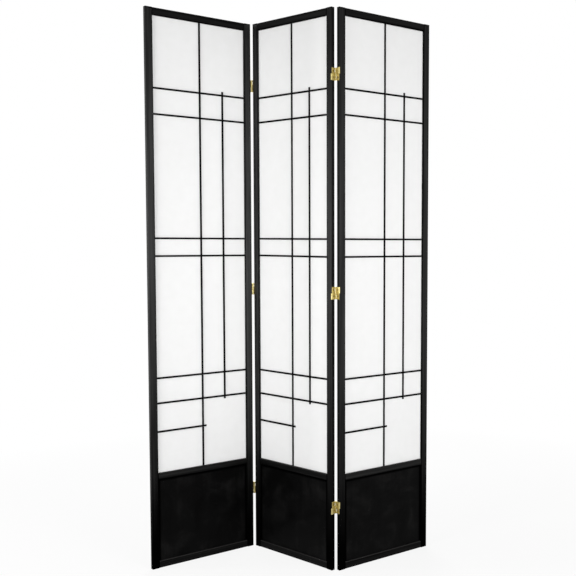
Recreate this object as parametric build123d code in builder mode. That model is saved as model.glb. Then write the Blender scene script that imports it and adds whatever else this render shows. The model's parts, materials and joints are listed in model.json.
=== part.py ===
from build123d import *
import os

# A free-standing folding screen: three identical framed paper panels, joined by two-way hinges.
# Units are millimetres and degrees. +Z is up, the front faces -Y, and the origin is on the floor
# under the centre of the middle panel, which is also the centre of the screen's outline.

# Panels
panel_height = 2134.0
panel_width = 445.0
frame_thickness = 15.0
panel_swing = 40.0  # turn of each panel from the line of the screen, left and right in turn

# Frame members, joined by blind mortises and tenons
stile_width = 29.5
top_rail_height = 29.0
middle_rail_height = 25.0
bottom_rail_height = 28.0
kick_opening_height = 320.0
tenon_length = 18.0
tenon_thickness = 6.0
tenon_set_in = 1.0  # from the bottom of a groove to the tenon beside it
edge_chamfer = 2.5
outer_chamfer = 0.6  # on the stiles' outer sides, kept small where the hinge leaves lie
seat_clearance = 0.1

# Paper and kick panel, held in grooves
paper_thickness = 0.5
paper_recess = 7.2  # from the front of the frame to the front of the paper
kick_thickness = 5.0
groove_depth = 5.0

# Lattice bars, half-lapped where they cross and housed in the frame
bar_width = 6.8
bar_thickness = 3.2
bar_tenon = 4.0
crossbar_shares = (0.846, 0.790, 0.521, 0.482, 0.212, 0.156)  # of the paper's opening height
short_crossbar_share = 0.092
main_upright_share = 0.499  # of the opening width
short_upright_share = 0.752
short_upright_top_overhang = 14.5  # past the centre of the bar that it crosses last
short_upright_foot_overhang = 11.0
short_crossbar_overhang = 14.5

# Two-way hinges: two leaves, an upper and a lower link, four pins. As they repeat many times,
# their eyes and screw holes are many-sided, and the pins that turn in them are round.
hinge_height_shares = (0.885, 0.502, 0.115)  # of the panel height
leaf_height = 47.0
leaf_thickness = 1.5
leaf_inset = 0.5
link_thickness = 1.5
pin_radius = 1.5
running_clearance = 0.05
barrel_face_clearance = 0.4
knuckle_gap = 0.3
link_knuckle_share = 0.4  # of the barrel's length in each half of the hinge
screw_radius = 1.6
screw_head_radius = 3.0
access_clearance = 0.4
eye_sides = 10
hole_sides = 8

# Derived sizes
opening_width = panel_width - 2 * stile_width
middle_rail_foot = bottom_rail_height + kick_opening_height
opening_foot = middle_rail_foot + middle_rail_height
opening_top = panel_height - top_rail_height
opening_height = opening_top - opening_foot
right_stile_edge = panel_width - stile_width
bar_front = paper_recess - bar_thickness
lap_depth = bar_front + bar_thickness / 2
kick_recess = (frame_thickness - kick_thickness) / 2
seat_depth = groove_depth - seat_clearance
tenon_shoulder = groove_depth + tenon_set_in

main_upright = stile_width + main_upright_share * opening_width
short_upright = stile_width + short_upright_share * opening_width
crossbars = [opening_foot + share * opening_height for share in crossbar_shares]
short_crossbar = opening_foot + short_crossbar_share * opening_height
short_upright_top = crossbars[0] + short_upright_top_overhang
short_upright_foot = crossbars[-1] - short_upright_foot_overhang
short_crossbar_end = main_upright + short_crossbar_overhang

bore_radius = pin_radius + running_clearance
barrel_radius = bore_radius + leaf_thickness
hinge_gap = 2 * barrel_radius
barrel_proud = barrel_radius + barrel_face_clearance
barrel_spread = frame_thickness / 2 + barrel_proud
half_barrel = leaf_height / 2 - knuckle_gap / 2
link_knuckle = link_knuckle_share * half_barrel
leaf_knuckle = (half_barrel - link_knuckle) / 2 - knuckle_gap
link_reach = barrel_spread - barrel_radius - knuckle_gap
hinge_heights = [share * panel_height for share in hinge_height_shares]
up = Vector(0, 0, 1)


# Planes of a panel
def panel_front(pivot, across, behind, swing):
    """Front face of a panel, with its origin at the lower left corner.

    The panel is turned by swing about an upright line through pivot, which lies
    across from the left edge and behind the front face."""
    along = Vector(1, 0, 0).rotate(Axis.Z, swing)
    forward = Vector(0, -1, 0).rotate(Axis.Z, swing)
    turned = Plane(origin=pivot, x_dir=along, z_dir=forward)
    corner = turned.from_local_coords((-across, 0, behind))
    return Plane(origin=corner, x_dir=along, z_dir=forward)


def cross_section(front, across):
    """Upright plane through the panel's thickness: depth from the front, then height."""
    corner = front.from_local_coords((across, 0, 0))
    return Plane(origin=corner, x_dir=-front.z_dir, z_dir=front.x_dir)


def seam_plan(front, across, facing):
    """Level plane at a panel edge: origin midway between the hinge axes, the panel at -X."""
    middle = front.from_local_coords((across, 0, -frame_thickness / 2))
    return Plane(origin=middle, x_dir=front.x_dir * facing, z_dir=up)


def keep(piece, name):
    """Name a finished piece and write it."""
    piece.part.label = name
    export_step(piece.part, f"parts/{name}.step")


# Frame
def build_stile(name, front, outer, inner, bar_heights):
    """Upright frame member, mortised for three rails and housed for the lattice bars."""
    inward = 1 if inner > outer else -1
    rails = (
        (bottom_rail_height / 2, bottom_rail_height),
        (middle_rail_foot + middle_rail_height / 2, middle_rail_height),
        (opening_top + top_rail_height / 2, top_rail_height),
    )
    section = cross_section(front, inner)
    with BuildPart() as stile:
        with BuildSketch(cross_section(front, outer)):
            with Locations((frame_thickness / 2, panel_height / 2)):
                Rectangle(frame_thickness, panel_height)
        extrude(amount=inward * stile_width)
        inner_side = stile.faces().sort_by(Axis(front.origin, front.x_dir * inward))[-1]
        chamfer(inner_side.edges(), edge_chamfer)
        outer_side = stile.faces().sort_by(Axis(front.origin, front.x_dir * inward))[0]
        chamfer(outer_side.edges(), outer_chamfer)
        with BuildSketch(section):
            for height, rail in rails:
                with Locations((frame_thickness / 2, height)):
                    Rectangle(tenon_thickness, rail - 2 * tenon_shoulder)
        extrude(amount=-inward * (tenon_length + seat_clearance), mode=Mode.SUBTRACT)
        with BuildSketch(section):
            with Locations((paper_recess + paper_thickness / 2, (opening_foot + opening_top) / 2)):
                Rectangle(paper_thickness, opening_height + 2 * groove_depth)
            with Locations((frame_thickness / 2, bottom_rail_height + kick_opening_height / 2)):
                Rectangle(kick_thickness, kick_opening_height + 2 * groove_depth)
        extrude(amount=-inward * groove_depth, mode=Mode.SUBTRACT)
        with BuildSketch(section):
            with Locations(*[(bar_front + bar_thickness / 2, height) for height in bar_heights]):
                Rectangle(bar_thickness, bar_width)
        extrude(amount=-inward * (bar_tenon + seat_clearance), mode=Mode.SUBTRACT)
    keep(stile, name)


def build_rail(name, front, foot, height, grooves, upright_face=None):
    """Level frame member: its section with grooves, a tenon at each end, a housing for the upright.

    Each groove is a depth from the front, a thickness and the rail face that it is cut in."""
    with BuildPart() as rail:
        with BuildSketch(cross_section(front, stile_width)):
            with Locations((frame_thickness / 2, foot + height / 2)):
                Rectangle(frame_thickness, height)
        extrude(amount=opening_width)
        chamfer(rail.edges().filter_by(lambda edge: edge.length > opening_width / 2), edge_chamfer)
        with BuildSketch(cross_section(front, stile_width)):
            for depth, thickness, face in grooves:
                with Locations((depth + thickness / 2, face)):
                    Rectangle(thickness, 2 * groove_depth)
        extrude(amount=opening_width, mode=Mode.SUBTRACT)
        for end, outward in ((stile_width, -1), (right_stile_edge, 1)):
            with BuildSketch(cross_section(front, end)):
                with Locations((frame_thickness / 2, foot + height / 2)):
                    Rectangle(tenon_thickness, height - 2 * tenon_shoulder)
            extrude(amount=outward * tenon_length)
        if upright_face is not None:
            with BuildSketch(front.offset(-bar_front)):
                with Locations((main_upright, upright_face)):
                    Rectangle(bar_width, 2 * (bar_tenon + seat_clearance))
            extrude(amount=-bar_thickness, mode=Mode.SUBTRACT)
    keep(rail, name)


def build_sheet(name, front, foot, height, recess, thickness):
    """Flat sheet that fills an opening and runs into the grooves around it."""
    with BuildPart() as sheet:
        with BuildSketch(front.offset(-recess)):
            with Locations((panel_width / 2, foot + height / 2)):
                Rectangle(opening_width + 2 * seat_depth, height + 2 * seat_depth)
        extrude(amount=-thickness)
    keep(sheet, name)


# Lattice
def build_upright(name, front, across, foot, top, crossings):
    """Upright lattice bar, with its front half cut away where a crossbar passes."""
    with BuildPart() as upright:
        with BuildSketch(front.offset(-bar_front)):
            with Locations((across, (foot + top) / 2)):
                Rectangle(bar_width, top - foot)
        extrude(amount=-bar_thickness)
        with BuildSketch(front.offset(-bar_front)):
            with Locations(*[(across, height) for height in crossings]):
                Rectangle(bar_width, bar_width)
        extrude(amount=-bar_thickness / 2, mode=Mode.SUBTRACT)
    keep(upright, name)


def build_crossbar(name, front, height, start, end, crossings):
    """Level lattice bar, with its rear half cut away where an upright passes."""
    with BuildPart() as crossbar:
        with BuildSketch(front.offset(-bar_front)):
            with Locations(((start + end) / 2, height)):
                Rectangle(end - start, bar_width)
        extrude(amount=-bar_thickness)
        with BuildSketch(front.offset(-lap_depth)):
            with Locations(*[(across, height) for across in crossings]):
                Rectangle(bar_width, bar_width)
        extrude(amount=-bar_thickness / 2, mode=Mode.SUBTRACT)
    keep(crossbar, name)


def build_panel(side, front):
    """All the wooden pieces and the paper of one panel."""
    panel = f"{side}_panel"
    paper_groove = (paper_recess, paper_thickness)
    kick_groove = (kick_recess, kick_thickness)

    build_stile(f"{panel}_left_stile", front, 0, stile_width, crossbars + [short_crossbar])
    build_stile(f"{panel}_right_stile", front, panel_width, right_stile_edge, crossbars)

    top_grooves = [(*paper_groove, opening_top)]
    middle_grooves = [(*paper_groove, opening_foot), (*kick_groove, middle_rail_foot)]
    bottom_grooves = [(*kick_groove, bottom_rail_height)]
    build_rail(f"{panel}_top_rail", front, opening_top, top_rail_height, top_grooves, opening_top)
    build_rail(
        f"{panel}_middle_rail", front, middle_rail_foot, middle_rail_height, middle_grooves, opening_foot
    )
    build_rail(f"{panel}_bottom_rail", front, 0, bottom_rail_height, bottom_grooves)

    build_sheet(f"{panel}_paper", front, opening_foot, opening_height, paper_recess, paper_thickness)
    build_sheet(
        f"{panel}_kick_panel", front, bottom_rail_height, kick_opening_height, kick_recess, kick_thickness
    )

    build_upright(
        f"{panel}_main_upright", front, main_upright,
        opening_foot - bar_tenon, opening_top + bar_tenon, crossbars + [short_crossbar],
    )
    build_upright(
        f"{panel}_short_upright", front, short_upright, short_upright_foot, short_upright_top, crossbars
    )
    for number, height in enumerate(crossbars, start=1):
        build_crossbar(
            f"{panel}_crossbar_{number}", front, height,
            stile_width - bar_tenon, right_stile_edge + bar_tenon, (main_upright, short_upright),
        )
    build_crossbar(
        f"{panel}_short_crossbar", front, short_crossbar,
        stile_width - bar_tenon, short_crossbar_end, (main_upright,),
    )


# Hinges. Each half has a barrel in front of the panels and one behind them. The upper link joins
# the left panel's rear barrel to the right panel's front barrel, and the lower link the other two,
# so that the panels fold either way.
def knuckle_feet(half):
    """Heights above the hinge's middle where the leaf's two knuckles of one half start."""
    foot = knuckle_gap / 2 if half > 0 else -leaf_height / 2
    return foot, foot + half_barrel - leaf_knuckle


def link_foot(half):
    """Height above the hinge's middle where the link's knuckle of one half starts."""
    return half * (knuckle_gap / 2 + half_barrel / 2) - link_knuckle / 2


def screw_plane(plan, face, height, half):
    """Upright plane on a plate's outer face, centred on the screw of one half."""
    centre = plan.from_local_coords((face, 0, height + half * leaf_height / 4))
    return Plane(origin=centre, x_dir=up, z_dir=plan.x_dir)


def draw_bore():
    """Cut the pin's bore in the sketch of an eye, clear of the round pin on every side."""
    RegularPolygon(bore_radius, eye_sides, major_radius=False, mode=Mode.SUBTRACT)


def build_leaves(name, plan, halves_with_bores):
    """The three leaves screwed to one panel edge: a plate with rolled eyes at opposite corners."""
    with BuildPart() as leaves:
        for height in hinge_heights:
            with BuildSketch(plan.offset(height - leaf_height / 2)):
                with Locations((leaf_thickness / 2 - barrel_radius, 0)):
                    Rectangle(leaf_thickness, frame_thickness - 2 * leaf_inset)
            extrude(amount=leaf_height)
            for half in (1, -1):
                for foot in knuckle_feet(half):
                    with BuildSketch(plan.offset(height + foot)):
                        with Locations((leaf_thickness / 2 - barrel_radius, half * barrel_spread / 2)):
                            Rectangle(leaf_thickness, barrel_spread)
                        with Locations((0, half * barrel_spread)):
                            RegularPolygon(barrel_radius, eye_sides)
                            if half in halves_with_bores:
                                draw_bore()
                    extrude(amount=leaf_knuckle)
                face = screw_plane(plan, leaf_thickness - barrel_radius, height, half)
                for depth, radius in ((0, screw_head_radius), (leaf_thickness, screw_radius)):
                    with BuildSketch(face.offset(-depth)):
                        RegularPolygon(radius, hole_sides)
                loft(mode=Mode.SUBTRACT)
    keep(leaves, name)


def build_links(name, plan, half):
    """The three links of one half: a plate between the leaves with an eye at each end."""
    with BuildPart() as links:
        for height in hinge_heights:
            centre = height + half * (knuckle_gap / 2 + half_barrel / 2)
            with BuildSketch(plan.offset(centre - half_barrel / 2)):
                Rectangle(link_thickness, 2 * link_reach)
            extrude(amount=half_barrel)
            with BuildSketch(plan.offset(height + link_foot(half))):
                Rectangle(link_thickness, 2 * barrel_spread)
                with Locations((0, barrel_spread), (0, -barrel_spread)):
                    RegularPolygon(barrel_radius, eye_sides)
                    draw_bore()
            extrude(amount=link_knuckle)
            with BuildSketch(screw_plane(plan, link_thickness / 2, height, half)):
                RegularPolygon(screw_head_radius + access_clearance, hole_sides, major_radius=False)
            extrude(amount=-link_thickness, mode=Mode.SUBTRACT)
    keep(links, name)


def build_pins(name, plan, half, ends):
    """The pins of one half, each as long as its barrel, at the chosen ends of the links."""
    with BuildPart() as pins:
        for height in hinge_heights:
            foot = height + half * (knuckle_gap / 2 + half_barrel / 2) - half_barrel / 2
            with BuildSketch(plan.offset(foot)):
                with Locations(*[(0, end * barrel_spread) for end in ends]):
                    Circle(pin_radius)
            extrude(amount=half_barrel)
    keep(pins, name)


def build_seam(side, inner_plan, outer_plan):
    """The hinges between the middle panel and an outer one.

    The lower links lie against the middle panel's leaves and the upper ones against the outer
    panel's. The outer leaves' lower eyes hold their pin ends fast and carry no through pin."""
    hinge = f"{side}_hinge"
    build_leaves(f"{hinge}_inner_leaves", inner_plan, (1, -1))
    build_leaves(f"{hinge}_outer_leaves", outer_plan, (1,))
    build_links(f"{hinge}_upper_links", outer_plan, 1)
    build_links(f"{hinge}_lower_links", inner_plan, -1)
    build_pins(f"{hinge}_upper_pins", outer_plan, 1, (1, -1))
    build_pins(f"{hinge}_lower_pins", inner_plan, -1, (-1,))


# The standing screen: the left panel folds about the front barrels, the right one about the rear
os.makedirs("parts", exist_ok=True)

seam_across = hinge_gap / 2
rear_barrel = frame_thickness + barrel_proud

middle_front = panel_front((0, 0, 0), panel_width / 2, frame_thickness / 2, -panel_swing)
left_pivot = middle_front.from_local_coords((-seam_across, 0, barrel_proud))
right_pivot = middle_front.from_local_coords((panel_width + seam_across, 0, -rear_barrel))
left_front = panel_front(left_pivot, panel_width + seam_across, -barrel_proud, panel_swing)
right_front = panel_front(right_pivot, -seam_across, rear_barrel, panel_swing)

build_panel("left", left_front)
build_panel("middle", middle_front)
build_panel("right", right_front)

build_seam(
    "left",
    seam_plan(middle_front, -seam_across, -1),
    seam_plan(left_front, panel_width + seam_across, 1),
)
build_seam(
    "right",
    seam_plan(middle_front, panel_width + seam_across, 1),
    seam_plan(right_front, -seam_across, -1),
)
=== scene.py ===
import json
import math

import bmesh
import bpy
from mathutils import Matrix, Vector


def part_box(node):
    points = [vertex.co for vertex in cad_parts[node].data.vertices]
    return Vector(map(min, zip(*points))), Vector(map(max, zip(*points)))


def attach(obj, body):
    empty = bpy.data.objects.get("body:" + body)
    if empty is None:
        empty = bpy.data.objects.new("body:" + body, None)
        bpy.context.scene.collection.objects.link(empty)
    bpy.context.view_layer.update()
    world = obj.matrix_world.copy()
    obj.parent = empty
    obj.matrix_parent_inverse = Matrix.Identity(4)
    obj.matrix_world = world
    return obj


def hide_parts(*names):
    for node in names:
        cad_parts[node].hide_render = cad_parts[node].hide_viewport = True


# The looks of a folding shoji screen: black stained frames and lattice, white paper, brass hinges.
# Units are metres. The frame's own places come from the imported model.

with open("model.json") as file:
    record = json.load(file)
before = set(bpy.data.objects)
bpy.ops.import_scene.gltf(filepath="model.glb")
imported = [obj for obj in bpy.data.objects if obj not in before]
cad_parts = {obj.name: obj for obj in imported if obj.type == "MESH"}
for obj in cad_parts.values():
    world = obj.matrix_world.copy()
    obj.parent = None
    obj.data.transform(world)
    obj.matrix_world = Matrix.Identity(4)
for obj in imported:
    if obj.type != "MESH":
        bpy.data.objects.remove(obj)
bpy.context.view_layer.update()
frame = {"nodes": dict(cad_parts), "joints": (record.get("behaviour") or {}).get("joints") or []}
nodes = frame["nodes"]

# Places taken from the frame
PIVOTS = {joint["name"]: Vector(joint["pos_m"]) for joint in frame["joints"]}
MIDDLE_EDGE = PIVOTS["right_panel_fold"] - PIVOTS["right_lower_links_turn"]
SWING = math.atan2(MIDDLE_EDGE.x, MIDDLE_EDGE.y)
SWINGS = {"left": SWING, "middle": -SWING, "right": SWING}

# Frame sizes, as the model has them
PANEL_WIDTH = 0.445
PANEL_HEIGHT = 2.134
FRAME_THICKNESS = 0.015
STILE_WIDTH = 0.0295
EDGE_CHAMFER = 0.0025
GROOVE_DEPTH = 0.005
OPENING_WIDTH = PANEL_WIDTH - 2 * STILE_WIDTH

# Hinge sizes, as the model has them
HINGE_HEIGHTS = (1.88859, 1.071268, 0.24541)
LEAF_HEIGHT = 0.047
LEAF_WIDTH = 0.014
SHEET = 0.0015
BARREL = 0.00305
BORE = 0.00155
SPREAD = 0.01095  # from the middle of a panel's edge to the barrel on either side
KNUCKLE_GAP = 0.0003
HALF_BARREL = 0.02335
LINK_KNUCKLE = 0.00934
LEAF_KNUCKLE = 0.006705
LINK_REACH = 0.0076
PIN = 0.0015
PIN_CROWN = 0.0003
SCREW_HOLE = 0.0016
SCREW_HEAD = 0.0030
ACCESS_HOLE = 0.0034

# How finely the hinges are rounded, and how their edges are broken
ROUND_STEPS = 32
ROUND_TURNS = [2 * math.pi * i / ROUND_STEPS for i in range(ROUND_STEPS)]
ROLL_STEPS = 28
ROLL_END = math.radians(-118.0)
EDGE_BREAK = 0.00012
BREAK_ANGLE = math.radians(40.0)
SHARP_ANGLE = math.radians(32.0)
WELD = 1e-7
TURN_DIGITS = 6
FLAT_TURN = 1e-6

# Screws
SCREW_SIZES = {
    "Head Radius": 0.00292,
    "Shank Radius": 0.00155,
    "Head Depth": 0.0014,
    "Cross Length": 0.0034,
    "Cross Width": 0.00075,
    "Cross Depth": 0.0006,
}
SCREW_SEED = 7
SCREW_SIDES = 24
# The cross's two slots: length, width and height. The cutters stand half out of the head and differ a
# little in height, so that their floors don't lie in one plane.
CROSS_SLOTS = (("Cross Length", "Cross Width", 2.0), ("Cross Width", "Cross Length", 1.8))

# Camera, as it stood for the photo: a 576 pixel square picture
PICTURE = 576
FOCAL_PIXELS = 902.0
AXIS_PIXEL = (404.5, 300.0)
SENSOR = 36.0
CAMERA_PLACE = (0.4401, -3.5484, 1.2760)
CAMERA_PITCH = math.radians(-3.851)
CAMERA_ROLL = math.radians(0.266)

# Colours, linear
BLACK_STAIN = (0.0009, 0.0009, 0.0009)
BLACK_STAIN_WORN = (0.0048, 0.0047, 0.0046)
# Painted shade: the uprights' feet, the frame's eased edges and the kick panel's edges
PAINTED_SHADE_BLACK = (0.0004, 0.0004, 0.0004)
# Painted highlight on the rails' upper edges
PAINTED_EDGE_HIGHLIGHT = (0.0240, 0.0234, 0.0228)
KICK_DARK = (0.0003, 0.0003, 0.0003)
KICK_MIDDLE = (0.0018, 0.0018, 0.0018)
KICK_LIGHT = (0.0080, 0.0078, 0.0077)
PAPER_WHITE = (0.866, 0.866, 0.864)
PAPER_SHADE = (0.846, 0.846, 0.842)
BRASS_BRIGHT = (0.59, 0.50, 0.23)
BRASS_DULL = (0.39, 0.32, 0.105)
SCREW_BRIGHT = (0.24, 0.18, 0.06)
SCREW_DULL = (0.10, 0.075, 0.025)
WHITE = (1.0, 1.0, 1.0)

# Black wood. A grain is its noise scale along the member and across it.
NOISE_SPAN = (0.3, 0.7)  # where most of a noise's values lie
FINE_GRAIN = (9.0, 620.0)
BROAD_GRAIN = (2.6, 190.0)
GRAIN_SHARES = (0.35, 0.65)
STAIN_STOPS = ((0.38, BLACK_STAIN), (0.64, BLACK_STAIN_WORN))
WOOD_ROUGHNESS = (0.36, 0.48)
GRAIN_DEPTH = 0.00012
GRAIN_BUMP = 0.5

# The lacquer's reflection: on each panel's left and right stile, on the rails and on the lattice. The
# stiles' and rails' values are painted sheen, set member by member for the light each gets; the two
# stiles at the left seam reflect the most
STILE_SHEENS = {"left": (0.17, 0.42), "middle": (0.62, 0.13), "right": (0.16, 0.16)}
RAIL_SHEENS = {"top_rail": 0.05, "middle_rail": 0.11, "bottom_rail": 0.035}
LATTICE_SHEEN = 0.02
SHEEN_SPAN = (0.5, 1.6)  # shares of it from the darkest grain to the lightest

# Shares of the reflection left at heights from the foot to the top, where the panel's height is 1:
# a painted sheen by height, strongest at mid-height, dull towards the foot and a little less at the top
PAINTED_SHEEN_BY_HEIGHT = ((0.04, 0.01), (0.11, 0.10), (0.20, 0.52), (0.36, 1.0), (0.76, 1.0), (0.98, 0.64))
FOOT_SHADE_SPAN = (0.05, 0.17)  # heights between which the colour is painted darker towards the foot, as painted shade

# Eased edges, painted darker as painted shade: the distances from the edge over which it fades out, how
# far that line wanders, how much of the reflection is lost there, and how far under a rail's top the
# painted highlight on its upper edge starts and is full
EDGE_SHADE_SPAN = (0.8 * EDGE_CHAMFER, 2.4 * EDGE_CHAMFER)
EDGE_SHADE_WANDER = 0.0008
EDGE_SHADE_SHEEN_LOSS = 0.85
EDGE_HIGHLIGHT_SPAN = (1.6 * EDGE_CHAMFER, EDGE_CHAMFER)

# Kick panel
KICK_FIGURE = (60.0, 60.0, 3.0)
KICK_PORES = (900.0, 900.0, 24.0)
KICK_CLOUD = 9.0
KICK_SHARES = (0.2, 0.8)
KICK_STOPS = ((0.34, KICK_DARK), (0.51, KICK_MIDDLE), (0.72, KICK_LIGHT))
# Painted shade along the kick panel's edges, under the middle rail and beside the stiles
KICK_EDGE_SHADE_SPAN = (0.004, 0.011)
KICK_ROUGHNESS = (0.46, 0.60)
KICK_SHEEN = 0.03
PORE_DEPTH = 0.00010
PORE_BUMP = 0.4

# Paper
PAPER_CLOUD = 26.0
PAPER_STOPS = ((0.30, PAPER_SHADE), (0.66, PAPER_WHITE))
PAPER_ROUGHNESS = 0.82
PAPER_SHEEN = 0.25
FIBRE_SCALE = 190.0
FIBRE_STRETCH = (1.0, 1.0, 0.6)
FIBRE_WIDTH = 0.035
FIBRE_SHARE = 0.35
PAPER_RELIEF = (0.4, 1.0)  # of the cloud and the fibres
PAPER_DEPTH = 0.00006
PAPER_BUMP = 0.35

# Brass
BRASS_CLOUD = 160.0
BRASS_DULL_STOP, BRASS_BRIGHT_STOP = 0.34, 0.60
BRASS_ROUGHNESS = (0.46, 0.36)
ROLLING_MARKS = (900.0, 900.0, 5200.0)
MARK_DEPTH = 0.00004
MARK_BUMP = 0.35

# Studio
AMBIENT = 0.30
FLOOR_REACH = 30.0
FLOOR_COLOUR = (0.82, 0.82, 0.82)
FLOOR_ROUGHNESS = 0.9
SHADOW_REACH = (0.9, 2.6)
SHADOW_SHARE = 0.14
LIGHT_AIM = (0.0, 0.0, 1.25)
# Each soft box's place, size and power
SOFT_BOXES = {
    "front_left_soft_box": ((-1.7, -2.05, 1.40), (1.0, 1.0), 37.0),
    "front_right_soft_box": ((1.75, -2.1, 1.40), (1.0, 1.0), 37.0),
    "left_strip_light": ((-2.6, -0.30, 1.40), (0.3, 1.4), 18.0),
    "right_soft_box": ((2.65, -1.15, 1.40), (1.0, 1.2), 7.5),
    "rear_soft_box": ((-0.1, 2.3, 1.45), (1.3, 0.8), 38.0),
}


def new_object(name, data):
    """An object in the scene for a mesh, light or camera."""
    holder = bpy.data.objects.new(name, data)
    bpy.context.scene.collection.objects.link(holder)
    return holder


# Node helpers
class Nodes:
    """A node tree, with short calls to add its nodes and link them."""

    def __init__(self, tree):
        self.tree = tree

    def add(self, kind, inputs=None, **settings):
        """A node with its settings made and its inputs fed."""
        node = self.tree.nodes.new(kind)
        for key, value in settings.items():
            setattr(node, key, value)
        for key, value in (inputs or {}).items():
            self.feed(node.inputs[key], value)
        return node

    def link(self, source, target):
        self.tree.links.new(source, target)

    def feed(self, socket, value):
        """Link another node's output to a socket, or give it a fixed value."""
        if isinstance(value, bpy.types.NodeSocket):
            self.link(value, socket)
        elif socket.type == "RGBA":
            socket.default_value = (*value, 1.0)
        else:
            socket.default_value = value

    def maths(self, operation, first, second=0.0):
        node = self.add("ShaderNodeMath", {0: first, 1: second}, operation=operation)
        return node.outputs["Value"]

    def background_rays(self):
        """1 for the rays that look at the background: camera, glossy and transmission rays."""
        path = self.add("ShaderNodeLightPath").outputs
        share = path["Is Camera Ray"]
        for ray in ("Is Glossy Ray", "Is Transmission Ray"):
            share = self.maths("MAXIMUM", share, path[ray])
        return share

    def show_either(self, share, first, second, output):
        """Show the second shader by the share, and the first by the rest."""
        both = self.add("ShaderNodeMixShader", {"Fac": share, 1: first, 2: second})
        self.link(both.outputs["Shader"], self.tree.nodes[output].inputs["Surface"])


class Shading(Nodes):
    """A material's node tree, with short calls for the nodes that the finishes use."""

    def __init__(self, name):
        self.material = bpy.data.materials.new(name)
        self.material.use_nodes = True
        super().__init__(self.material.node_tree)
        self.surface = self.tree.nodes["Principled BSDF"]

    def coordinates(self):
        """The piece's own coordinates."""
        return self.add("ShaderNodeTexCoord").outputs["Object"]

    def place(self, turn, scale=(1.0, 1.0, 1.0)):
        """The piece's own coordinates, turned about Z to its panel's axes and scaled along them."""
        rotation = (0.0, 0.0, turn)
        turned = self.add("ShaderNodeMapping", {"Vector": self.coordinates(), "Rotation": rotation})
        scaled = self.add("ShaderNodeMapping", {"Vector": turned.outputs["Vector"], "Scale": scale})
        return scaled.outputs["Vector"]

    def vector_maths(self, operation, first, second=(0.0, 0.0, 0.0)):
        node = self.add("ShaderNodeVectorMath", {0: first, 1: second}, operation=operation)
        return node.outputs["Vector"]

    def axis_values(self, vector):
        """A vector's values along X, Y and Z."""
        split = self.add("ShaderNodeSeparateXYZ", {"Vector": vector})
        return [split.outputs[axis] for axis in "XYZ"]

    def edge_distance(self, side, centre, half):
        """Distance along the surface of a box-shaped member to its nearest edge.

        The box is in the panel's own axes: across from the panel's middle, through it, and up. It and
        its mirror image across the panel's middle are one."""
        low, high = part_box(f"{side}_panel_top_rail")
        middle = (low + high) / 2
        middle.z = 0.0
        turn = -SWINGS[side]
        start = -(Matrix.Rotation(turn, 3, "Z") @ middle)
        local = self.add(
            "ShaderNodeMapping",
            {"Vector": self.coordinates(), "Rotation": (0.0, 0.0, turn), "Location": start},
        )
        mirrored = self.vector_maths("ABSOLUTE", local.outputs["Vector"])
        from_centre = self.vector_maths("ABSOLUTE", self.vector_maths("SUBTRACT", mirrored, centre))
        across, through, up = self.axis_values(self.vector_maths("SUBTRACT", half, from_centre))
        smaller = self.maths("MINIMUM", across, through)
        larger = self.maths("MAXIMUM", across, through)
        return self.maths("MAXIMUM", smaller, self.maths("MINIMUM", larger, up))

    def height_over(self, level):
        """Height of the surface over a level."""
        return self.maths("SUBTRACT", self.axis_values(self.coordinates())[2], level)

    def height_share(self):
        """Height of the surface as a share of the panel's."""
        return self.maths("DIVIDE", self.height_over(0.0), PANEL_HEIGHT)

    def noise(self, vector, scale=1.0, *, detail, roughness, distortion=0.0):
        inputs = {
            "Vector": vector,
            "Scale": scale,
            "Detail": detail,
            "Roughness": roughness,
            "Distortion": distortion,
        }
        return self.add("ShaderNodeTexNoise", inputs).outputs["Fac"]

    def ramp(self, value, stops):
        """Colours at positions from 0 to 1."""
        node = self.add("ShaderNodeValToRGB", {"Fac": value})
        elements = node.color_ramp.elements
        while len(elements) < len(stops):
            elements.new(0.5)
        for element, (position, colour) in zip(elements, stops):
            element.position = position
            element.color = (*colour, 1.0)
        return node.outputs["Color"]

    def span(self, value, low, high, source=NOISE_SPAN):
        """A value moved from its usual span to the span from low to high."""
        inputs = {
            "Value": value,
            "From Min": source[0],
            "From Max": source[1],
            "To Min": low,
            "To Max": high,
        }
        return self.add("ShaderNodeMapRange", inputs).outputs["Result"]

    def blend(self, values, shares):
        """Two values added by their shares."""
        first, second = (self.maths("MULTIPLY", value, share) for value, share in zip(values, shares))
        return self.maths("ADD", first, second)

    def rest(self, share):
        """What a share leaves of 1."""
        return self.maths("SUBTRACT", 1.0, share)

    def mix(self, share, first, second):
        """The first colour, changed to the second by the share."""
        node = self.add("ShaderNodeMix", {"Factor": share}, data_type="RGBA")
        colours = [socket for socket in node.inputs if socket.type == "RGBA"]
        for socket, value in zip(colours, (first, second)):
            self.feed(socket, value)
        return next(socket for socket in node.outputs if socket.type == "RGBA")

    def bump(self, height, depth, strength):
        node = self.add("ShaderNodeBump", {"Height": height, "Distance": depth, "Strength": strength})
        self.link(node.outputs["Normal"], self.surface.inputs["Normal"])

    def set(self, **sockets):
        """Feed the surface's sockets. An underscore stands for a space in a socket's name."""
        for name, value in sockets.items():
            self.feed(self.surface.inputs[name.replace("_", " ")], value)


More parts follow.
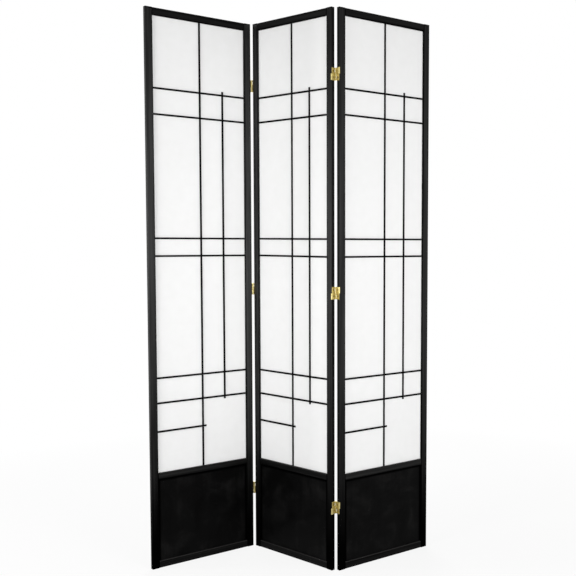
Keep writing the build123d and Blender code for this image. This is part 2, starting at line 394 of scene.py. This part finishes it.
# Finishes
def black_wood(name, swing, upright, sheen, edges=None):
    """Black stain under a thin lacquer, with the grain along the member.

    sheen is the lacquer's reflection. On an upright member it follows a painted sheen by height,
    dull towards the foot, where the colour is also painted darker as painted shade. edges is the side,
    centre and half size of a frame member with eased edges, painted darker and less reflective along
    them as painted shade. The upper ones of a level member carry a pale painted highlight."""
    shading = Shading(name)
    fine_place, broad_place = (
        shading.place(-swing, (across, across, along) if upright else (along, across, across))
        for along, across in (FINE_GRAIN, BROAD_GRAIN)
    )
    fine = shading.noise(fine_place, detail=4.0, roughness=0.6)
    broad = shading.noise(broad_place, detail=3.0, roughness=0.5, distortion=0.4)
    grain = shading.blend((fine, broad), GRAIN_SHARES)
    colour = shading.ramp(grain, STAIN_STOPS)
    lacquer = shading.span(grain, SHEEN_SPAN[0] * sheen, SHEEN_SPAN[1] * sheen)
    if upright:
        height_share = shading.height_share()
        # Painted shade: the colour is painted darker towards the foot
        foot = shading.span(height_share, 1.0, 0.0, FOOT_SHADE_SPAN)
        colour = shading.mix(foot, colour, PAINTED_SHADE_BLACK)
        # A painted sheen by height: the reflection is strongest at mid-height and dull towards the foot
        painted_sheen_share = shading.ramp(height_share, [(height, (left,) * 3) for height, left in PAINTED_SHEEN_BY_HEIGHT])
        lacquer = shading.maths("MULTIPLY", lacquer, painted_sheen_share)
    if edges is not None:
        side, centre, half = edges
        # Painted shade along the eased edges: darker colour and less reflection
        wander = shading.span(broad, -EDGE_SHADE_WANDER, EDGE_SHADE_WANDER)
        distance = shading.maths("ADD", shading.edge_distance(side, centre, half), wander)
        painted_edge_shade = shading.span(distance, 1.0, 0.0, EDGE_SHADE_SPAN)
        colour = shading.mix(painted_edge_shade, colour, PAINTED_SHADE_BLACK)
        edge_sheen_left = shading.rest(shading.maths("MULTIPLY", painted_edge_shade, EDGE_SHADE_SHEEN_LOSS))
        lacquer = shading.maths("MULTIPLY", lacquer, edge_sheen_left)
        if not upright:
            # A pale painted highlight along a level member's upper edges
            highlight_heights = [half[2] - depth for depth in EDGE_HIGHLIGHT_SPAN]
            upper = shading.span(shading.height_over(centre[2]), 0.0, 1.0, highlight_heights)
            colour = shading.mix(shading.maths("MULTIPLY", painted_edge_shade, upper), colour, PAINTED_EDGE_HIGHLIGHT)
    roughness = shading.span(grain, *WOOD_ROUGHNESS)
    shading.set(Base_Color=colour, Roughness=roughness, Specular_IOR_Level=lacquer)
    shading.bump(fine, GRAIN_DEPTH, GRAIN_BUMP)
    return shading.material


def kick_board(name, side, centre, half):
    """Thin black board, stained and left matt, with a faint figure, rubbed in clouds.

    It is painted darker and less reflective along the edges of the box with the given centre and half
    size, as painted shade under the middle rail and beside the stiles."""
    turn = -SWINGS[side]
    shading = Shading(name)
    figure = shading.noise(shading.place(turn, KICK_FIGURE), detail=5.0, roughness=0.62, distortion=1.2)
    cloud = shading.noise(shading.place(turn), KICK_CLOUD, detail=6.0, roughness=0.62, distortion=0.5)
    pores = shading.noise(shading.place(turn, KICK_PORES), detail=2.0, roughness=0.5)
    rubbed = shading.blend((figure, cloud), KICK_SHARES)
    # Painted shade along the board's edges: darker colour and less reflection
    painted_edge_shade = shading.span(shading.edge_distance(side, centre, half), 1.0, 0.0, KICK_EDGE_SHADE_SPAN)
    colour = shading.mix(painted_edge_shade, shading.ramp(rubbed, KICK_STOPS), PAINTED_SHADE_BLACK)
    roughness = shading.span(rubbed, *KICK_ROUGHNESS)
    lacquer = shading.maths("MULTIPLY", shading.rest(painted_edge_shade), KICK_SHEEN)
    shading.set(Base_Color=colour, Roughness=roughness, Specular_IOR_Level=lacquer)
    shading.bump(pores, PORE_DEPTH, PORE_BUMP)
    return shading.material


def shoji_paper(name, swing):
    """White pressed pulp with a soft cloud and fine tangled fibres."""
    shading = Shading(name)
    cloud = shading.noise(shading.place(-swing), PAPER_CLOUD, detail=4.0, roughness=0.6)
    fibre_place = shading.place(-swing, FIBRE_STRETCH)
    fibre_run = shading.noise(fibre_place, FIBRE_SCALE, detail=2.0, roughness=0.5, distortion=2.6)
    from_fibre = shading.maths("ABSOLUTE", shading.maths("SUBTRACT", fibre_run, 0.5))
    fibres = shading.span(from_fibre, 1.0, 0.0, (0.0, FIBRE_WIDTH))
    body = shading.ramp(cloud, PAPER_STOPS)
    colour = shading.mix(shading.maths("MULTIPLY", fibres, FIBRE_SHARE), body, PAPER_SHADE)
    shading.set(Base_Color=colour, Roughness=PAPER_ROUGHNESS, Specular_IOR_Level=PAPER_SHEEN)
    shading.bump(shading.blend((cloud, fibres), PAPER_RELIEF), PAPER_DEPTH, PAPER_BUMP)
    return shading.material


def pressed_brass(name, bright, dull):
    """Pressed brass sheet with fine rolling marks and a little dulling."""
    shading = Shading(name)
    cloud = shading.noise(shading.place(0.0), BRASS_CLOUD, detail=4.0, roughness=0.6)
    marks = shading.noise(shading.place(0.0, ROLLING_MARKS), detail=2.0, roughness=0.5)
    colour = shading.ramp(cloud, ((BRASS_DULL_STOP, dull), (BRASS_BRIGHT_STOP, bright)))
    shading.set(Base_Color=colour, Metallic=1.0, Roughness=shading.span(cloud, *BRASS_ROUGHNESS))
    shading.bump(marks, MARK_DEPTH, MARK_BUMP)
    return shading.material


def dress(node, material):
    """Give a CAD node its finish."""
    node.data.materials.clear()
    node.data.materials.append(material)


def dress_frame(side):
    """The frame members, painted darker along their eased edges as painted shade: all round on the
    rails, and on the stiles' inner sides.
    """
    swing = SWINGS[side]
    panel = f"{side}_panel"
    through = FRAME_THICKNESS / 2
    centre = (PANEL_WIDTH / 2, 0.0, PANEL_HEIGHT / 2)
    half = (STILE_WIDTH, through, PANEL_HEIGHT / 2)
    # Each stile and rail gets its own painted sheen, set for the light it gets
    for stile, sheen in zip(("left_stile", "right_stile"), STILE_SHEENS[side]):
        stile_wood = black_wood(f"{side}_{stile}_wood", swing, True, sheen, (side, centre, half))
        dress(nodes[f"{panel}_{stile}"], stile_wood)
    for rail, sheen in RAIL_SHEENS.items():
        low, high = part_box(f"{panel}_{rail}")
        centre = (0.0, 0.0, (low.z + high.z) / 2)
        half = (PANEL_WIDTH, through, (high.z - low.z) / 2)
        rail_wood = black_wood(f"{side}_{rail}_wood", swing, False, sheen, (side, centre, half))
        dress(nodes[f"{panel}_{rail}"], rail_wood)


def dress_filling(side):
    """The kick panel, the paper and the lattice bars."""
    swing = SWINGS[side]
    panel = f"{side}_panel"
    low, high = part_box(f"{panel}_kick_panel")
    centre = (0.0, 0.0, low.z)
    half = (OPENING_WIDTH / 2, 0.0, high.z - low.z - GROOVE_DEPTH)
    dress(nodes[f"{panel}_kick_panel"], kick_board(f"{side}_kick_board", side, centre, half))
    dress(nodes[f"{panel}_paper"], shoji_paper(f"{side}_shoji_paper", swing))
    upright_wood = black_wood(f"{side}_upright_bar_wood", swing, True, LATTICE_SHEEN)
    crossbar_wood = black_wood(f"{side}_crossbar_wood", swing, False, LATTICE_SHEEN)
    for name, node in nodes.items():
        if name.startswith(panel) and name.endswith("_upright"):
            dress(node, upright_wood)
        elif name.startswith(panel) and "crossbar" in name:
            dress(node, crossbar_wood)


# Hinges
def seam_axes(side):
    """The two sets of axes at a seam: the middle panel's edge, then the outer panel's.

    Each has its origin midway between the edge's two barrels, Y from barrel to barrel and the panel
    at -X."""
    fold = PIVOTS[f"{side}_panel_fold"]
    pairs = ((PIVOTS[f"{side}_lower_links_turn"], fold), (fold, PIVOTS[f"{side}_panel_back_fold"]))
    up = Vector((0.0, 0.0, 1.0))
    axes = []
    for start, end in pairs:
        across = (end - start).normalized()
        turn = Matrix((across.cross(up), across, up)).transposed().to_4x4()
        axes.append(Matrix.Translation((start + end) / 2) @ turn)
    return axes


def circle(radius, turns=ROUND_TURNS):
    return [(radius * math.cos(a), radius * math.sin(a)) for a in turns]


class Pressing:
    """One node's brass pieces, drawn in a hinge's own axes and set on the seam at each height."""

    def __init__(self):
        self.mesh = bmesh.new()
        self.axes = Matrix()

    def move_to(self, axes, height):
        self.axes = axes @ Matrix.Translation((0.0, 0.0, height))

    def row(self, points):
        return [self.mesh.verts.new(self.axes @ Vector(point)) for point in points]

    def bands(self, rows, closed):
        """Quads between rows of points, where closed rows run round."""
        for near, far in zip(rows, rows[1:]):
            count = len(near)
            for i in range(count if closed else count - 1):
                j = (i + 1) % count
                self.mesh.faces.new((near[i], near[j], far[j], far[i]))

    def strip(self, outer, inner, foot, length, closed=False):
        """A bent sheet: its outer and inner lines in plan, drawn up from foot."""
        top = foot + length
        rows = [
            self.row([(x, y, z) for x, y in line])
            for line, z in ((outer, foot), (outer, top), (inner, top), (inner, foot))
        ]
        self.bands(rows + rows[:1], closed)
        if not closed:
            for end in (0, -1):
                self.mesh.faces.new([row[end] for row in rows])

    def pin(self, across, foot, length):
        """A round pin with crowned ends."""
        crown = PIN - PIN_CROWN
        profile = ((crown, 0.0), (PIN, PIN_CROWN), (PIN, length - PIN_CROWN), (crown, length))
        rows = [
            self.row([(x, across + y, foot + z) for x, y in circle(radius)]) for radius, z in profile
        ]
        self.bands(rows, True)
        self.mesh.faces.new(rows[0])
        self.mesh.faces.new(rows[-1])

    def drilled_plate(self, back, front, width, low, high, hole, joined=None):
        """A flat plate with one round hole. hole is its height and its radius at the front and the back.

        The plate has no wall at the height where it is joined to a like one."""
        centre, front_radius, back_radius = hole
        half = width / 2
        corners = [math.atan2(z - centre, y) % (2 * math.pi) for y in (half, -half) for z in (low, high)]
        turns = sorted({round(a, TURN_DIGITS) for a in corners + ROUND_TURNS})
        rim = []
        for y, z in circle(1.0, turns):
            reaches = [half / abs(y)] if abs(y) > FLAT_TURN else []
            if abs(z) > FLAT_TURN:
                reaches.append(((high if z > 0 else low) - centre) / z)
            rim.append((min(reaches) * y, centre + min(reaches) * z))
        rows = [
            self.row([(front, y, z) for y, z in rim]),
            self.row([(front, y, centre + z) for y, z in circle(front_radius, turns)]),
            self.row([(back, y, centre + z) for y, z in circle(back_radius, turns)]),
            self.row([(back, y, z) for y, z in rim]),
        ]
        self.bands(rows, True)
        for i, (y, z) in enumerate(rim):
            j = (i + 1) % len(rim)
            if joined is None or abs(z - joined) > WELD or abs(rim[j][1] - joined) > WELD:
                self.mesh.faces.new((rows[3][i], rows[3][j], rows[0][j], rows[0][i]))

    def rolled_eye(self, half, foot, length):
        """A leaf's sheet run out from the plate and rolled round the pin, its seam left open a hair."""
        turns = [math.pi + (ROLL_END - math.pi) * i / ROLL_STEPS for i in range(ROLL_STEPS + 1)]
        lines = []
        for radius in (BARREL, BORE):
            straight = [(-radius, half * (LEAF_WIDTH / 2 - KNUCKLE_GAP))]
            lines.append(straight + [(x, half * (SPREAD + y)) for x, y in circle(radius, turns)])
        self.strip(lines[0], lines[1], foot, length)

    def link_eye(self, half, foot, length):
        """A closed eye with a web to the link's plate."""
        outer, inner = ([(x, half * SPREAD + y) for x, y in circle(radius)] for radius in (BARREL, BORE))
        self.strip(outer, inner, foot, length, True)
        web = (half * (LINK_REACH - SHEET), half * (SPREAD - BARREL + SHEET / 3))
        self.strip([(SHEET / 2, y) for y in web], [(-SHEET / 2, y) for y in web], foot, length)

    def finish(self, node, body, material):
        """Break the edges, make the mesh, and let it stand for its node."""
        bmesh.ops.remove_doubles(self.mesh, verts=self.mesh.verts, dist=WELD)
        bmesh.ops.recalc_face_normals(self.mesh, faces=self.mesh.faces)
        sharp = [
            edge for edge in self.mesh.edges
            if len(edge.link_faces) == 2 and edge.calc_face_angle() > BREAK_ANGLE
        ]
        bmesh.ops.bevel(
            self.mesh, geom=sharp, offset=EDGE_BREAK, segments=1, affect="EDGES", clamp_overlap=True
        )
        mesh = bpy.data.meshes.new(f"{node}_fine")
        self.mesh.to_mesh(mesh)
        self.mesh.free()
        mesh.polygons.foreach_set("use_smooth", [True] * len(mesh.polygons))
        mesh.set_sharp_from_angle(angle=SHARP_ANGLE)
        mesh.materials.append(material)
        piece = new_object(f"{node}_fine", mesh)
        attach(piece, body)
        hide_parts(node)


def press_leaves(axes, node, body, fixed_pin, material):
    """The leaves on one panel edge. With fixed_pin the lower eyes hold their pin ends fast."""
    pressing = Pressing()
    for height in HINGE_HEIGHTS:
        pressing.move_to(axes, height)
        for half in (1, -1):
            low, high = sorted((0.0, half * LEAF_HEIGHT / 2))
            hole = (half * LEAF_HEIGHT / 4, SCREW_HEAD, SCREW_HOLE)
            pressing.drilled_plate(-BARREL, SHEET - BARREL, LEAF_WIDTH, low, high, hole, 0.0)
            foot = KNUCKLE_GAP / 2 if half > 0 else -LEAF_HEIGHT / 2
            for knuckle in (foot, foot + HALF_BARREL - LEAF_KNUCKLE):
                pressing.rolled_eye(half, knuckle, LEAF_KNUCKLE)
                if fixed_pin and half < 0:
                    pressing.pin(-SPREAD, knuckle, LEAF_KNUCKLE)
    pressing.finish(node, body, material)


def press_links(axes, half, node, body, material):
    """The links of a seam's upper or lower halves."""
    pressing = Pressing()
    centre = half * (KNUCKLE_GAP / 2 + HALF_BARREL / 2)
    low, high = centre - HALF_BARREL / 2, centre + HALF_BARREL / 2
    hole = (half * LEAF_HEIGHT / 4, ACCESS_HOLE, ACCESS_HOLE)
    for height in HINGE_HEIGHTS:
        pressing.move_to(axes, height)
        pressing.drilled_plate(-SHEET / 2, SHEET / 2, 2 * LINK_REACH, low, high, hole)
        for end in (1, -1):
            pressing.link_eye(end, centre - LINK_KNUCKLE / 2, LINK_KNUCKLE)
    pressing.finish(node, body, material)


def turn_pins(axes, half, ends, node, body, material):
    """The pins that go with a seam's upper or lower links."""
    pressing = Pressing()
    foot = half * (KNUCKLE_GAP / 2 + HALF_BARREL / 2) - HALF_BARREL / 2
    for height in HINGE_HEIGHTS:
        pressing.move_to(axes, height)
        for end in ends:
            pressing.pin(end * SPREAD, foot, HALF_BARREL)
    pressing.finish(node, body, material)


def make_hinges(material):
    for side in ("left", "right"):
        inner, outer = seam_axes(side)
        hinge = f"{side}_hinge"
        upper, lower = f"{side}_upper_links", f"{side}_lower_links"
        press_leaves(inner, f"{hinge}_inner_leaves", "middle_panel", False, material)
        press_leaves(outer, f"{hinge}_outer_leaves", f"{side}_panel", True, material)
        press_links(outer, 1, f"{hinge}_upper_links", upper, material)
        press_links(inner, -1, f"{hinge}_lower_links", lower, material)
        turn_pins(outer, 1, (1, -1), f"{hinge}_upper_pins", upper, material)
        turn_pins(inner, -1, (-1,), f"{hinge}_lower_pins", lower, material)


# Screws
def screw_blank(tree, given):
    """Geometry nodes for one countersunk screw head with a cross cut in its flat top."""
    head = tree.add("GeometryNodeMeshCone", {
        "Vertices": SCREW_SIDES,
        "Radius Top": given["Head Radius"],
        "Radius Bottom": given["Shank Radius"],
        "Depth": given["Head Depth"],
    })
    sink = tree.add("ShaderNodeCombineXYZ", {"Z": tree.maths("MULTIPLY", given["Head Depth"], -1.0)})
    sunk = tree.add("GeometryNodeTransform", {
        "Geometry": head.outputs["Mesh"],
        "Translation": sink.outputs["Vector"],
    })
    blank = sunk.outputs["Geometry"]
    for length, width, share in CROSS_SLOTS:
        size = tree.add("ShaderNodeCombineXYZ", {
            "X": given[length],
            "Y": given[width],
            "Z": tree.maths("MULTIPLY", given["Cross Depth"], share),
        })
        slot = tree.add("GeometryNodeMeshCube", {"Size": size.outputs["Vector"]})
        cut = tree.add("GeometryNodeMeshBoolean", operation="DIFFERENCE")
        tree.link(blank, cut.inputs["Mesh 1"])
        tree.link(slot.outputs["Mesh"], cut.inputs["Mesh 2"])
        blank = cut.outputs["Mesh"]
    return blank


def screw_turn(tree, given):
    """Geometry nodes for a screw's turn: along its point's facing, and round that at random."""
    named = tree.add("GeometryNodeInputNamedAttribute", {"Name": "facing"}, data_type="FLOAT_VECTOR")
    facing = named.outputs["Attribute"]
    upright = tree.add("FunctionNodeAlignRotationToVector", {"Vector": facing}, axis="Z")
    chance = tree.add("FunctionNodeRandomValue", {"Seed": given["Seed"]}, data_type="FLOAT")
    low, high = [s for s in chance.inputs if s.enabled and s.name in ("Min", "Max")]
    low.default_value, high.default_value = 0.0, math.pi / 2
    spin = tree.add("FunctionNodeAxisAngleToRotation", {
        "Axis": (0.0, 0.0, 1.0),
        "Angle": next(s for s in chance.outputs if s.enabled),
    })
    turned = tree.add(
        "FunctionNodeRotateRotation",
        {"Rotation": upright.outputs["Rotation"], "Rotate By": spin.outputs["Rotation"]},
        rotation_space="LOCAL",
    )
    return turned.outputs["Rotation"]


def screw_tree():
    """Geometry nodes that set a cross-headed countersunk screw on each point, turned at random."""
    group = bpy.data.node_groups.new("hinge_screws", "GeometryNodeTree")
    given_sockets = {
        "Points": "NodeSocketGeometry",
        **{name: "NodeSocketFloat" for name in SCREW_SIZES},
        "Seed": "NodeSocketInt",
        "Finish": "NodeSocketMaterial",
    }
    for name, kind in given_sockets.items():
        group.interface.new_socket(name, in_out="INPUT", socket_type=kind)
    group.interface.new_socket("Screws", in_out="OUTPUT", socket_type="NodeSocketGeometry")
    tree = Nodes(group)
    given = tree.add("NodeGroupInput").outputs
    screws = tree.add("GeometryNodeInstanceOnPoints", {
        "Points": given["Points"],
        "Instance": screw_blank(tree, given),
        "Rotation": screw_turn(tree, given),
    })
    real = tree.add("GeometryNodeRealizeInstances", {"Geometry": screws.outputs["Instances"]})
    finish = tree.add("GeometryNodeSetMaterial", {
        "Geometry": real.outputs["Geometry"],
        "Material": given["Finish"],
    })
    tree.add("NodeGroupOutput", {"Screws": finish.outputs["Geometry"]})
    return group


def drive_screws(tree, body, edges, material):
    """The screws in the leaves on a body's panel edges, as one mesh."""
    points, facings = [], []
    for axes in edges:
        for height in HINGE_HEIGHTS:
            for half in (1, -1):
                points.append(axes @ Vector((SHEET - BARREL, 0.0, height + half * LEAF_HEIGHT / 4)))
                facings.append(axes.to_3x3() @ Vector((1.0, 0.0, 0.0)))
    mesh = bpy.data.meshes.new(f"{body}_screw_points")
    mesh.from_pydata(points, [], [])
    facing = mesh.attributes.new("facing", "FLOAT_VECTOR", "POINT")
    facing.data.foreach_set("vector", [value for direction in facings for value in direction])
    holder = new_object(f"{body}_screw_points", mesh)
    modifier = holder.modifiers.new("screws", "NODES")
    modifier.node_group = tree
    values = {**SCREW_SIZES, "Seed": SCREW_SEED, "Finish": material}
    for item in tree.interface.items_tree:
        if item.in_out == "INPUT" and item.name in values:
            modifier[item.identifier] = values[item.name]
    graph = bpy.context.evaluated_depsgraph_get()
    plain = bpy.data.meshes.new_from_object(holder.evaluated_get(graph))
    bpy.data.objects.remove(holder)
    piece = new_object(f"{body}_hinge_screws", plain)
    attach(piece, body)


def make_screws(material):
    tree = screw_tree()
    left_inner, left_outer = seam_axes("left")
    right_inner, right_outer = seam_axes("right")
    drive_screws(tree, "middle_panel", (left_inner, right_inner), material)
    drive_screws(tree, "left_panel", (left_outer,), material)
    drive_screws(tree, "right_panel", (right_outer,), material)


# Studio
def light_world():
    """Even grey light on the object, and a white background to look at."""
    world = bpy.data.worlds.new("studio")
    world.use_nodes = True
    bpy.context.scene.world = world
    sky = Nodes(world.node_tree)
    light = sky.tree.nodes["Background"]
    sky.feed(light.inputs["Color"], WHITE)
    sky.feed(light.inputs["Strength"], AMBIENT)
    seen = sky.add("ShaderNodeBackground", {"Color": WHITE, "Strength": 1.0})
    sky.show_either(
        sky.background_rays(), light.outputs["Background"], seen.outputs["Background"], "World Output"
    )


def lay_floor():
    """Plain pale floor that keeps the screen's shadow and runs into the white background."""
    mesh = bpy.data.meshes.new("floor")
    signs = ((-1, -1), (1, -1), (1, 1), (-1, 1))
    corners = [(x * FLOOR_REACH, y * FLOOR_REACH, 0.0) for x, y in signs]
    mesh.from_pydata(corners, [], [(0, 1, 2, 3)])
    floor = new_object("floor", mesh)
    shading = Shading("pale_floor")
    shading.set(Base_Color=FLOOR_COLOUR, Roughness=FLOOR_ROUGHNESS, Specular_IOR_Level=0.0)
    distance = shading.add("ShaderNodeVectorMath", {0: shading.coordinates()}, operation="LENGTH")
    fade = shading.span(distance.outputs["Value"], 1.0 - SHADOW_SHARE, 1.0, SHADOW_REACH)
    share = shading.maths("MULTIPLY", fade, shading.background_rays())
    glow = shading.add("ShaderNodeEmission", {"Color": WHITE})
    shading.show_either(
        share, shading.surface.outputs["BSDF"], glow.outputs["Emission"], "Material Output"
    )
    mesh.materials.append(shading.material)


def light_studio():
    """The soft boxes, each a rectangle turned to the screen, and the world's light."""
    light_world()
    for name, (place, size, power) in SOFT_BOXES.items():
        lamp = bpy.data.lights.new(name, "AREA")
        lamp.shape = "RECTANGLE"
        lamp.size, lamp.size_y = size
        lamp.energy = power
        holder = new_object(name, lamp)
        holder.location = place
        holder.visible_camera = False
        holder.rotation_euler = (Vector(LIGHT_AIM) - Vector(place)).to_track_quat("-Z", "Y").to_euler()


def set_camera():
    data = bpy.data.cameras.new("camera")
    data.sensor_width = SENSOR
    data.lens = FOCAL_PIXELS / PICTURE * SENSOR
    data.shift_x = (PICTURE / 2 - AXIS_PIXEL[0]) / PICTURE
    data.shift_y = (AXIS_PIXEL[1] - PICTURE / 2) / PICTURE
    camera = new_object("camera", data)
    aim = Matrix.Rotation(math.pi / 2 + CAMERA_PITCH, 4, "X") @ Matrix.Rotation(CAMERA_ROLL, 4, "Z")
    camera.matrix_world = Matrix.Translation(CAMERA_PLACE) @ aim
    bpy.context.scene.camera = camera


for side in SWINGS:
    dress_frame(side)
    dress_filling(side)
make_hinges(pressed_brass("pressed_brass", BRASS_BRIGHT, BRASS_DULL))
make_screws(pressed_brass("screw_brass", SCREW_BRIGHT, SCREW_DULL))
lay_floor()
light_studio()
set_camera()
bpy.context.scene.view_settings.view_transform = "Standard"
